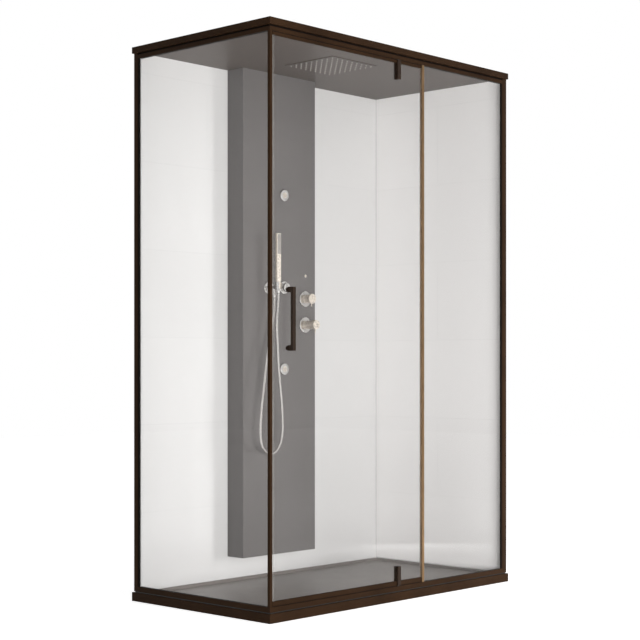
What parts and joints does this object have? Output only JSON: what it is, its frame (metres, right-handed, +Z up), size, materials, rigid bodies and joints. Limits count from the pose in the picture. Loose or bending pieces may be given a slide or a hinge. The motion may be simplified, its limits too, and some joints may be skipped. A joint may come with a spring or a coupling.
{
  "type": "steam shower cabin",
  "caption": "Corner steam shower cabin with a low tray, clear glass front and side, a pivoting glass door, solid back and right walls, a roof rain head and a services column with hand shower.",
  "frame": {"origin": "on the floor, under the centre of the plan", "axes": "+Z up, +Y towards the solid back wall, -Y is the front with the door, +X towards the solid right wall, -X is the fixed glass side"},
  "size_m": [1.5, 0.817, 2.265],
  "materials": {
    "frame_bronze": "satin dark bronze",
    "channel_black": "satin black",
    "tray_grey": "satin warm grey",
    "ceiling_grey": "satin warm grey",
    "wall_white": "gloss white",
    "column_grey": "satin warm grey",
    "glass_clear": "clear safety glass",
    "gasket_black": "matt",
    "seal_clear": "translucent",
    "bronze_hardware": "brushed bronze",
    "chrome": "mirror",
    "satin_metal": "satin warm",
    "hose_metal": "spiral wound",
    "spray_rubber": "matt",
    "galvanised": "galvanised",
    "copper": "bare copper",
    "stainless": "brushed",
    "white_plastic": "matt",
    "black_plastic": "matt",
    "brass_metal": "cast"
  },
  "bodies": {
    "cabin": {"shower_tray": "tray_grey", "waste_body": "black_plastic", "plinth_trim": "frame_bronze", "roof_fascia": "frame_bronze", "sill_front": "frame_bronze", "sill_left": "frame_bronze", "header_front": "frame_bronze", "header_left": "frame_bronze", "groove_fillers": "channel_black", "near_post": "frame_bronze", "wall_channel_left": "frame_bronze", "wall_channel_right": "frame_bronze", "glass_channels": "channel_black", "rear_corner_angle": "frame_bronze", "seam_profile": "bronze_hardware", "glass_left": "glass_clear", "glass_fixed": "glass_clear", "glazing_gaskets": "gasket_black", "pivot_bushes": "black_plastic", "back_wall_panel": "wall_white", "right_wall_panel": "wall_white", "wall_studs": "galvanised", "roof_spacers": "black_plastic", "ceiling_panel": "ceiling_grey", "roof_joists": "galvanised", "roof_cover": "white_plastic", "rain_head": "ceiling_grey", "column_cover": "column_grey", "column_end_caps": "column_grey", "column_chassis": "galvanised", "valve_bodies": "brass_metal", "valve_escutcheons": "chrome", "stop_valve": "chrome", "jet_bodies": "chrome", "button_bezel": "chrome", "wall_outlet": "chrome", "hose_nut_wall": "chrome", "shower_hose": "hose_metal", "pipework": "copper", "steam_outlet": "chrome", "steam_generator": "stainless", "cable_gland": "black_plastic"},
    "door": {"glass_door": "glass_clear", "door_rail_bottom": "frame_bronze", "door_rail_top": "frame_bronze", "door_edge_seals": "seal_clear", "pivot_bodies": "bronze_hardware", "pivot_plates": "bronze_hardware", "door_handle": "bronze_hardware", "handle_bolts": "bronze_hardware"},
    "mixer_knob": {"mixer_knob": "satin_metal"},
    "diverter_knob": {"diverter_knob": "satin_metal"},
    "stop_knob": {"stop_knob": "chrome"},
    "jet_upper": {"jet_nozzle_upper": "satin_metal"},
    "jet_lower": {"jet_nozzle_lower": "satin_metal"},
    "hand_shower": {"hand_shower": "satin_metal", "spray_plate": "spray_rubber", "hose_nut_shower": "chrome"},
    "steam_button": {"steam_button": "satin_metal"},
    "waste_cover": {"waste_cover": "chrome"}
  },
  "joints": [
    {"name": "door_hinge", "type": "hinge", "parent": "cabin", "child": "door", "pos_m": [0, -0.387, 1.1], "axis": [0, 0, 1], "range_deg": [0, 90]},
    {"name": "diverter_turn", "type": "hinge", "parent": "cabin", "child": "diverter_knob", "pos_m": [0.138, 0.25, 1.26], "axis": [0, -1, 0], "range_deg": [-90, 90]},
    {"name": "mixer_turn", "type": "hinge", "parent": "cabin", "child": "mixer_knob", "pos_m": [0.138, 0.25, 1.144], "axis": [0, -1, 0], "range_deg": [-90, 90]},
    {"name": "stop_turn", "type": "hinge", "parent": "cabin", "child": "stop_knob", "pos_m": [0.005, 0.25, 1.306], "axis": [0, -1, 0], "range_deg": [0, 90]},
    {"name": "jet_upper_tilt", "type": "hinge", "parent": "cabin", "child": "jet_upper", "pos_m": [0.005, 0.27, 1.712], "axis": [1, 0, 0], "range_deg": [-15, 15]},
    {"name": "jet_lower_tilt", "type": "hinge", "parent": "cabin", "child": "jet_lower", "pos_m": [0.005, 0.27, 0.947], "axis": [1, 0, 0], "range_deg": [-15, 15]},
    {"name": "hand_shower_lift", "type": "slide", "parent": "cabin", "child": "hand_shower", "axis": [0, 0, 1], "range_m": [0, 0.03]},
    {"name": "button_press", "type": "slide", "parent": "cabin", "child": "steam_button", "axis": [0, 1, 0], "range_m": [0, 0.002], "stiffness_N_per_m": 800},
    {"name": "waste_cover_lift", "type": "slide", "parent": "cabin", "child": "waste_cover", "axis": [0, 0, 1], "range_m": [0, 0.035]}
  ]
}
